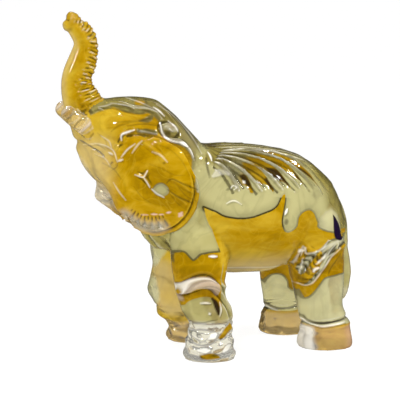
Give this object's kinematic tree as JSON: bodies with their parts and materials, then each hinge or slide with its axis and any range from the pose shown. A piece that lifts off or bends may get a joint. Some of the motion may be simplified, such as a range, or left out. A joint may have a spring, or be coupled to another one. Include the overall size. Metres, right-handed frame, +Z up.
{
  "type": "glass elephant figurine",
  "caption": "Solid moulded glass elephant standing with its head and trunk raised, with a fluted back, a creased trunk and scalloped ears; a free-standing ornament for a shelf.",
  "frame": {"origin": "on the ground, under the middle of the figure's bounding box", "axes": "+Z up, the nose towards -X, the left flank towards -Y"},
  "size_m": [0.1094, 0.0525, 0.121],
  "materials": {
    "amber_glass": "polished, pale olive with amber swirls",
    "clear_glass": "polished, nearly clear"
  },
  "bodies": {
    "root": {"torso": "amber_glass", "head": "amber_glass", "trunk": "amber_glass", "lower_jaw": "amber_glass", "left_ear": "amber_glass", "right_ear": "amber_glass", "left_tusk": "clear_glass", "right_tusk": "clear_glass", "left_fore_leg": "amber_glass", "right_fore_leg": "amber_glass", "left_hind_leg": "amber_glass", "right_hind_leg": "amber_glass", "tail": "amber_glass"}
  },
  "joints": []
}
